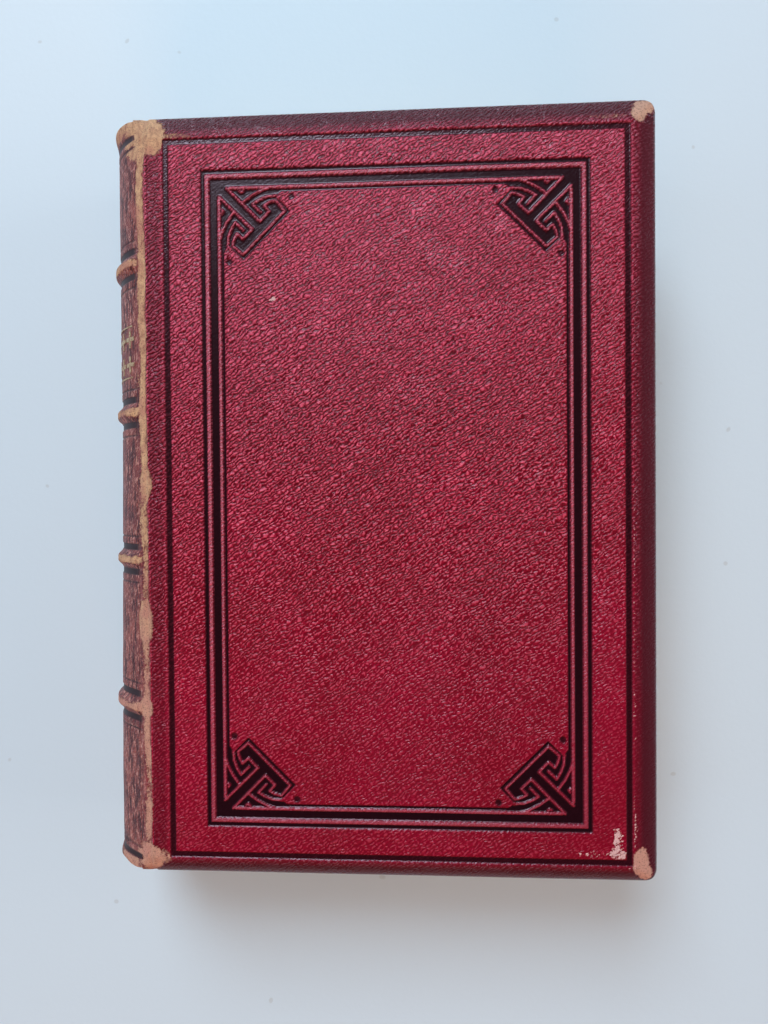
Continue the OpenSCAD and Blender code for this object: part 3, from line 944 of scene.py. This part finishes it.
def bare_suede(paint, rest, ragged, specks, patch):
    """The tan fibres under the dyed face: pinker towards the fore-edge and the tail, and pitted."""
    x, y, _ = paint.axes(rest)
    suede = paint.mix(paint.step(ragged, 0.32, 0.68), (0.50, 0.260, 0.160), (0.74, 0.450, 0.265))
    suede = paint.tint(suede, (0.56, 0.255, 0.180), paint.step(patch, 0.45, 0.65))
    suede = paint.tint(suede, (0.66, 0.39, 0.31), paint.step(x, 0.0, 50.0), 0.7)
    suede = paint.tint(suede, (0.62, 0.290, 0.245), paint.step(y, -10.0, -50.0), 0.6)
    return paint.tint(suede, (0.15, 0.045, 0.038), paint.step(specks, 0.53, 0.63), 0.68)


def morocco():
    """Goatskin dyed crimson: pebbled on a slant, black where tooled, rubbed to tan suede in places, with
    painted shade and painted highlights in its colour.
    """
    paint = Paint("crimson_morocco")
    rest = paint.rest()
    tool, proud, wear, fade, scuff_and_pale_strip, grain = (
        paint.layer(name) for name in ("tool", "proud", "wear", "fade", "scuff_and_pale_strip", "grain"))
    relief, small, pores = goat_grain(paint, rest)
    patch = paint.noise(rest, 0.13, 4.0, 0.6)

    sound = paint.mix(fade, crimson_dye_and_painted_light(paint, rest, relief, patch, grain), faded_dye(paint, rest, patch))
    # Painted highlight, with some wear: the raised ridges are paler and pinker in colour.
    sound = paint.tint(sound, (0.34, 0.020, 0.055), proud, 0.25)
    # Painted highlight, with some wear: the tops of the ridges are paler still where the grain is crisp.
    ridge_highlight_and_wear = paint.times(paint.step(proud, 0.72, 1.0), paint.times(paint.step(pores, 0.3, 0.7), grain))
    sound = paint.tint(sound, (0.72, 0.26, 0.34), ridge_highlight_and_wear, 0.7)
    black = paint.mix(paint.noise(rest, 1.3, 3.0), (0.0100, 0.0010, 0.0024), (0.0200, 0.0026, 0.0060))
    sound = paint.mix(tool, sound, black)

    ragged = paint.noise(paint.map(rest, (1.0, 0.6, 1.0)), 0.8, 5.0, 0.7)
    specks = paint.noise(rest, 2.3, 4.0, 0.72)
    uneven = paint.uneven(specks, 0.75, paint.uneven(ragged, 0.85))
    uneven = paint.uneven(relief, 0.25, uneven, 0.6)
    worn = paint.math("ADD", wear, uneven)
    partly = paint.times(paint.step(worn, 0.42, 0.54), paint.step(wear, 0.02, 0.25))
    bare = paint.times(paint.step(worn, 0.52, 0.64), paint.step(wear, 0.10, 0.45))
    pale = paint.scaled(uneven, 1.3, paint.scaled(small, 0.3, scuff_and_pale_strip))
    pale = paint.times(paint.step(pale, 0.66, 0.86), paint.step(scuff_and_pale_strip, 0.15, 0.4))
    colour = paint.tint(sound, (0.42, 0.115, 0.105), partly, 0.6)
    colour = paint.mix(bare, colour, bare_suede(paint, rest, ragged, specks, patch))
    colour = paint.tint(colour, (0.82, 0.50, 0.50), pale, 0.92)

    rubbed = paint.math("MAXIMUM", bare, pale)
    rough = paint.uneven(patch, 0.16, paint.blend(relief, 0.26, 0.32))
    rough = paint.scaled(fade, 0.25, paint.blend(tool, rough, 0.25))
    rough = paint.blend(rubbed, rough, 0.92)
    depth = paint.times(paint.scaled(paint.step(patch, 0.2, 0.62), 0.6, 0.4), grain)
    depth = paint.times(depth, paint.scaled(tool, -0.96, 1.0, clamp=True))
    nap = paint.times(paint.noise(rest, 6.0, 3.0, 0.7), rubbed)
    fibres = paint.scaled(nap, 0.45, paint.times(bare, -0.7))
    height = paint.math("ADD", paint.times(relief, paint.times(depth, paint.inverse(rubbed))), fibres)
    paint.shader.inputs["Specular Tint"].default_value = (1.0, 0.76, 0.88, 1)
    return paint.finish(colour, rough, height, 0.50)


def paper():
    """Toned rag paper, browner towards its edges."""
    paint = Paint("rag_paper")
    rest = paint.rest()
    x, y, _ = paint.axes(rest)
    end = paint.math("SUBTRACT", LEAF_HALF_H, paint.math("ABSOLUTE", y))
    edge = paint.math("MINIMUM", paint.math("SUBTRACT", FORE - 3, x), end)
    ragged = paint.scaled(paint.noise(rest, 0.12, 4.0, 0.6), 14.0, edge)
    toned = paint.inverse(paint.step(ragged, 4.0, 22.0))
    cloud = paint.noise(rest, 0.05, 4.0, 0.55)
    colour = paint.mix(paint.step(cloud, 0.3, 0.7), (0.74, 0.65, 0.48), (0.80, 0.73, 0.58))
    colour = paint.tint(colour, (0.58, 0.44, 0.27), toned, 0.55)
    fox = paint.step(paint.noise(rest, 0.42, 3.0, 0.75), 0.69, 0.76)
    colour = paint.tint(colour, (0.45, 0.24, 0.10), fox, 0.4)
    fibre = paint.noise(paint.map(rest, (1.0, 0.35, 1.0)), 4.0, 4.0, 0.7)
    return paint.finish(colour, paint.blend(fibre, 0.78, 0.92), fibre, 0.02)


def gilt_edge():
    """Gold leaf burnished onto the cut edges of the leaves, which still show as fine lines."""
    paint = Paint("gilt_edge")
    rest = paint.rest()
    lines = paint.noise(paint.map(rest, (0.05, 0.05, 6.0)), 1.6, 4.0, 0.75)
    rubbed = paint.noise(paint.map(rest, (0.5, 0.5, 3.0)), 0.35, 5.0, 0.65)
    bare = paint.step(paint.scaled(lines, 0.5, rubbed), 0.80, 0.98)
    gold = paint.mix(lines, (0.46, 0.27, 0.085), (0.74, 0.50, 0.19))
    colour = paint.tint(gold, (0.42, 0.27, 0.14), bare, 0.7)
    rough = paint.blend(bare, paint.blend(lines, 0.30, 0.46), 0.75)
    return paint.finish(colour, rough, lines, 0.05, metal=paint.blend(bare, 0.92, 0.15))


def marbled():
    """Endpaper marbled with veins and stones of red, ochre and blue-grey on a dark ground."""
    paint = Paint("marbled_paper")
    rest = paint.map(paint.rest(), (1, 1, 0.02))
    swirled = paint.warp(paint.warp(rest, 0.06, 18.0), 0.28, 4.0)
    stones = paint.cells(swirled, 0.16, "SMOOTH_F1", 0.25)
    veins = paint.cells(swirled, 0.16, "DISTANCE_TO_EDGE")
    small = paint.cells(paint.warp(rest, 0.3, 5.0), 0.42)
    drift = paint.noise(swirled, 0.05, 1.0)
    colour = paint.mix(paint.step(drift, 0.42, 0.5), (0.24, 0.028, 0.026), (0.42, 0.25, 0.085))
    colour = paint.tint(colour, (0.075, 0.115, 0.15), paint.step(drift, 0.56, 0.62))
    colour = paint.tint(colour, (0.05, 0.015, 0.016), paint.step(stones, 0.2, 0.75), 0.45)
    colour = paint.tint(colour, (0.62, 0.52, 0.36), paint.inverse(paint.step(small, 0.16, 0.24)))
    colour = paint.tint(colour, (0.70, 0.60, 0.42), paint.inverse(paint.step(veins, 0.02, 0.07)))
    grain = paint.noise(rest, 4.0, 4.0, 0.7)
    colour = paint.tint(colour, (0.30, 0.22, 0.16), grain, 0.25)
    return paint.finish(colour, paint.blend(grain, 0.42, 0.6), grain, 0.015)


def silk():
    """Silk thread in two colours, wound in turns."""
    paint = Paint("wound_silk")
    sheen = paint.noise(paint.rest(), 6.0, 3.0, 0.7)
    gold = paint.mix(sheen, (0.50, 0.33, 0.10), (0.74, 0.55, 0.22))
    red = paint.mix(sheen, (0.22, 0.012, 0.020), (0.36, 0.030, 0.040))
    colour = paint.mix(paint.step(paint.layer("stripe"), 0.45, 0.55), gold, red)
    paint.shader.inputs["Sheen Weight"].default_value = 0.4
    return paint.finish(colour, paint.blend(sheen, 0.35, 0.55), sheen, 0.03)


def rubbed_gold():
    """Gold leaf tooled into the spine, rubbed thin."""
    paint = Paint("rubbed_gold")
    thin = paint.noise(paint.place(), 1.6, 5.0, 0.7)
    bare = paint.step(thin, 0.50, 0.60)
    colour = paint.mix(bare, (0.54, 0.40, 0.24), (0.24, 0.070, 0.055))
    return paint.finish(colour, paint.blend(bare, 0.46, 0.7), thin, 0.05, metal=paint.blend(bare, 0.55, 0.0))


def millboard():
    """Dense grey-brown board with flecks of fibre."""
    paint = Paint("millboard")
    place = paint.place()
    fibre = paint.noise(paint.map(place, (1.0, 0.4, 1.0)), 2.2, 5.0, 0.7)
    fleck = paint.step(paint.cells(place, 1.4), 0.08, 0.2)
    colour = paint.mix(fibre, (0.22, 0.16, 0.10), (0.34, 0.26, 0.17))
    colour = paint.tint(colour, (0.14, 0.10, 0.07), paint.inverse(fleck))
    return paint.finish(colour, paint.blend(fibre, 0.8, 0.95), fibre, 0.12)


def hemp():
    """Hemp cord and linen thread, with the twist of its strands."""
    paint = Paint("hemp_cord")
    place = paint.place()
    turned = paint.map(place, turn=0.7)
    twist = paint.add("TexWave", "Fac", {"Vector": turned, "Scale": 0.9, "Distortion": 1.5})
    fibre = paint.noise(place, 5.0, 4.0, 0.7)
    colour = paint.mix(fibre, (0.46, 0.38, 0.26), (0.68, 0.60, 0.45))
    colour = paint.tint(colour, (0.30, 0.23, 0.15), twist, 0.4)
    return paint.finish(colour, paint.blend(fibre, 0.8, 0.95), paint.scaled(fibre, 0.3, twist), 0.1)


def open_cloth():
    """Open-weave cloth set in brown glue."""
    paint = Paint("mull_cloth")
    place = paint.place()
    thread = 4.2
    waves = [paint.math("SINE", paint.times(axis, thread)) for axis in paint.axes(place)[1:]]
    weave = paint.math("MAXIMUM", *(paint.math("ABSOLUTE", wave) for wave in waves))
    colour = paint.mix(paint.step(weave, 0.55, 0.9), (0.30, 0.20, 0.10), (0.66, 0.60, 0.46))
    glue = paint.noise(place, 0.3, 4.0, 0.6)
    colour = paint.tint(colour, (0.34, 0.22, 0.11), glue, 0.4)
    return paint.finish(colour, paint.blend(glue, 0.6, 0.9), weave, 0.12)


def pale_table():
    """A painted table top with a few faint specks."""
    paint = Paint("pale_table")
    place = paint.place()
    cloud = paint.noise(place, 0.006, 3.0, 0.5)
    fleck = paint.step(paint.cells(paint.warp(place, 0.05, 9.0), 0.055), 0.030, 0.055)
    colour = paint.mix(cloud, (0.620, 0.732, 0.842), (0.648, 0.760, 0.872))
    colour = paint.tint(colour, (0.40, 0.42, 0.44), paint.inverse(fleck), 0.35)
    fine = paint.noise(place, 0.5, 4.0, 0.6)
    return paint.finish(colour, paint.blend(fine, 0.5, 0.62), fine, 0.05)


LEATHER = morocco()
PAPER = paper()
GILT = gilt_edge()
MARBLED = marbled()
SILK = silk()
GOLD = rubbed_gold()
BOARD = millboard()
CORD = hemp()
MULL = open_cloth()
SIDES = [("front", False), ("back", True)]

# -------------------- covers and spine


def dress_cover(side, back):
    """The leather of one cover and of its joint."""
    leather = cover_leather(f"{side}_cover_leather", LEATHER, back)
    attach(leather, f"{side}_cover")
    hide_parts(f"{side}_leather")
    joint = joint_skin(f"{side}_joint_skin", LEATHER, back)
    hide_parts(f"{side}_joint_leather")
    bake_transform(joint)


for side, back in SIDES:
    dress_cover(side, back)
skin = spine_skin(LEATHER)
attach(skin, "text_block")
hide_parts("spine_leather")

# -------------------- linings


LINING_HINGE = 1.6
LINING_SLACK = 0.03


def pastedown(side, back):
    """The marbled paper inside a cover, with the hinge that runs over the joint to the first leaves."""
    hinge_x = JOINT_X - LINING_HINGE
    half_h = lining_high[1]
    x_lines = lines_between([(hinge_x, 0.06), (BOARD_X + 0.1, 0.3), (BOARD_X + 1, 8), (lining_high[0], 1)])
    x, y = np.meshgrid(x_lines, np.linspace(-1, 1, 13), indexing="ij")
    reach = LEAF_HALF_H + (half_h - LEAF_HALF_H) * smooth((x - BOARD_X) / 0.8)
    y = y * reach
    outer = np.stack([x, y, np.full(x.shape, INNER + LINING_T - LINING_SLACK)], -1)
    inner = np.stack([x, y, np.full(x.shape, INNER + LINING_SLACK)], -1)
    points, faces = thick_patch(outer, inner)
    if back:
        points = at_back(points)
    piece = make_piece(f"{side}_pastedown_sheet", points, faces, [MARBLED])
    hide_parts(f"{side}_pastedown")
    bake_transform(piece)


for side, back in SIDES:
    pastedown(side, back)


def bend_with(piece):
    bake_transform(piece)


def endleaf(side, kind, seed, materials):
    """One endleaf, from its stub in the shoulder of the block to the fore-edge."""
    low, high = node_box(f"{side}_{kind}")
    stub_low, _ = node_box("endleaf_stubs")
    piece = slab(f"{side}_{kind}_sheet", stub_low[0], high[0], low[2], high[2], 1, materials, seed, True)
    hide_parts(f"{side}_{kind}")
    bend_with(piece)
    return piece


# Upper side, under side, cut edges and fold
PLAIN = [PAPER, PAPER, GILT, PAPER]
ENDLEAVES = [
    ("front", "free_endpaper", "front_endpaper_leaf", [MARBLED, PAPER, GILT, PAPER]),
    ("front", "flyleaf", "front_flyleaf_leaf", PLAIN),
    ("back", "flyleaf", "back_flyleaf_leaf", PLAIN),
    ("back", "free_endpaper", "back_endpaper_leaf", [PAPER, MARBLED, GILT, PAPER]),
]
for order, (side, kind, body, materials) in enumerate(ENDLEAVES):
    leaf = endleaf(side, kind, 40 + order, materials)
    if order == 0:
        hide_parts("endleaf_stubs")

# -------------------- gatherings

# Leaves in a gathering, and the first gatherings, which get close grid lines near their folds and are not
# attached to the text block
LEAVES = 8
TURNING = 4
GATHERINGS = sorted(name for name in frame["nodes"] if name.startswith("gathering_"))
gathering_t = np.ptp([corner[2] for corner in node_box(GATHERINGS[-1])])


def fold_x(height):
    """Where a fold's outermost line lies on the round back of the block."""
    middle_r = FOLD_R - gathering_t / 2
    return SPINE_X - math.sqrt(middle_r ** 2 - (height - MID_Z) ** 2) - gathering_t / 2


for order, name in enumerate(GATHERINGS):
    low, high = node_box(name)
    turning = order < TURNING
    fold_line = fold_x((low[2] + high[2]) / 2)
    seed = 100 + order * 10
    piece = slab(
        name + "_leaves", fold_line, high[0], low[2], high[2], LEAVES, PLAIN, seed, turning,
        fold=gathering_t / 2)
    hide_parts(name)
    if turning:
        bend_with(piece)
    else:
        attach(piece, "text_block")
    if order == 0:
        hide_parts("sewn_folds")

# -------------------- endbands


def endband(name, node, side):
    """Silk wound in close turns over a core, in stripes of two colours, along the folds."""
    core_r = 0.85
    turns = 92
    per_turn = 4
    around = 14
    stripe_turns = 4
    reach = math.degrees(math.asin((INNER - MID_Z) / MULL_R)) - 4
    along = np.linspace(0, 1, turns * per_turn + 1)
    turn = np.linspace(0, math.tau, around, endpoint=False)
    a, t = np.meshgrid(along, turn, indexing="ij")
    thread = np.abs(np.sin(math.pi * turns * a + 0.5 * t))
    end_round = np.sqrt(np.clip(1 - (np.abs(a - 0.5) * 2) ** 60, 0.02, 1))
    radius = (core_r - 0.1 + 0.1 * thread) * end_round
    middle_y = side * (LEAF_HALF_H + core_r)
    from_axis = FOLD_R - core_r + radius * np.cos(t)
    points = spine_at(from_axis, (2 * a - 1) * reach, middle_y + radius * np.sin(t))
    index = np.arange(a.size).reshape(a.shape)
    closed = np.concatenate([index, index[:, :1]], axis=1)
    faces = grid_faces(closed).tolist() + [index[0].tolist(), index[-1].tolist()]
    stripe = (np.floor(a * turns / stripe_turns + t / math.tau / stripe_turns) % 2)
    piece = make_piece(name, points.reshape(-1, 3), faces, [SILK], {"stripe": stripe})
    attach(piece, "text_block")
    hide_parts(node)


endband("headband_silk", "headband", 1)
endband("tailband_silk", "tailband", -1)

# -------------------- CAD nodes that stay

KEPT = {
    "front_board": BOARD, "back_board": BOARD, "spine_stiffener": BOARD, "hollow_tube": BOARD,
    "sewing_cords": CORD, "kettle_stitches": CORD, "mull": MULL, "gilt_ornament": GOLD,
}
KEPT.update({f"raised_band_{i}": BOARD for i in range(1, len(BAND_YS) + 1)})
for name, material in KEPT.items():
    mesh = frame["nodes"][name].data
    mesh.materials.clear()
    mesh.materials.append(material)

# -------------------- table, light and camera

FLOOR_SIZE = 3.0
floor_mesh = bpy.data.meshes.new("table_top")
half = FLOOR_SIZE / 2
corners = [(-half, -half, 0), (half, -half, 0), (half, half, 0), (-half, half, 0)]
floor_mesh.from_pydata(corners, [], [(0, 1, 2, 3)])
floor_mesh.materials.append(pale_table())
floor = bpy.data.objects.new("table_top", floor_mesh)
bpy.context.scene.collection.objects.link(floor)


def soft_light(name, place, target, size, power, colour, mirrored=True):
    """A square soft light that faces a point. mirrored says whether glossy surfaces show it."""
    data = bpy.data.lights.new(name, "AREA")
    data.shape = "SQUARE"
    data.size = size
    data.energy = power
    data.color = colour
    light = bpy.data.objects.new(name, data)
    light.visible_glossy = mirrored
    light.location = place
    light.rotation_euler = (Vector(target) - Vector(place)).to_track_quat("-Z", "Y").to_euler()
    bpy.context.scene.collection.objects.link(light)


soft_light("window", (-0.34, 1.19, 1.24), (0, 0, 0.03), 0.80, 22.5, (0.75, 0.91, 1.0))
soft_light("ceiling", (-0.25, 0.20, 1.8), (0, 0, 0), 2.0, 10.5, (1.0, 0.92, 0.84), mirrored=False)
soft_light("lamp", (0.00, -1.45, 0.62), (0, -0.05, 0.02), 0.9, 11.0, (1.0, 0.41, 0.12), mirrored=False)
soft_light("wall", (1.30, 0.10, 0.50), (0, 0, 0.02), 0.8, 5.0, (1.0, 0.92, 0.86), mirrored=False)
soft_light("left_wall", (-1.25, 0.00, 0.55), (-0.1, 0, 0), 0.8, 2.6, (0.50, 0.80, 1.0), mirrored=False)


def room_light():
    """A room that is pale at eye level, darker overhead and darker past the book's tail."""
    room = Nodes(bpy.data.worlds.new("room"))
    _, y, z = room.axes(room.add("TexCoord", "Generated"))
    level = room.step(z, 0.15, 0.95, 0.38, 0.03, "LINEAR")
    shade = room.step(y, -0.9, 0.1, 0.3, 1.0, "LINEAR")
    background = room.tree.nodes["Background"]
    room.put(background.inputs["Color"], (0.92, 0.93, 1.0))
    room.put(background.inputs["Strength"], room.times(level, shade))
    return room.owner


bpy.context.scene.world = room_light()
bpy.context.scene.view_settings.view_transform = "Standard"

# The photo's view
CAMERA_PLACE = Vector((0.0155, -0.00105, 0.2357))
CAMERA_LOOK = Vector((-0.0622, -0.0159, -0.9979)).normalized()
CAMERA_ROLL = math.radians(-0.392)
CAMERA_LENS = 27.07
camera_data = bpy.data.cameras.new("camera")
camera_data.lens = CAMERA_LENS
camera_data.sensor_width = 36
camera_data.clip_start = 0.01
camera = bpy.data.objects.new("camera", camera_data)
back_axis = -CAMERA_LOOK
right_axis = Vector((math.cos(CAMERA_ROLL), math.sin(CAMERA_ROLL), 0))
up_axis = back_axis.cross(right_axis).normalized()
right_axis = up_axis.cross(back_axis).normalized()
axes = Matrix((right_axis, up_axis, back_axis)).transposed()
camera.matrix_world = Matrix.Translation(CAMERA_PLACE) @ axes.to_4x4()
bpy.context.scene.collection.objects.link(camera)
bpy.context.scene.camera = camera
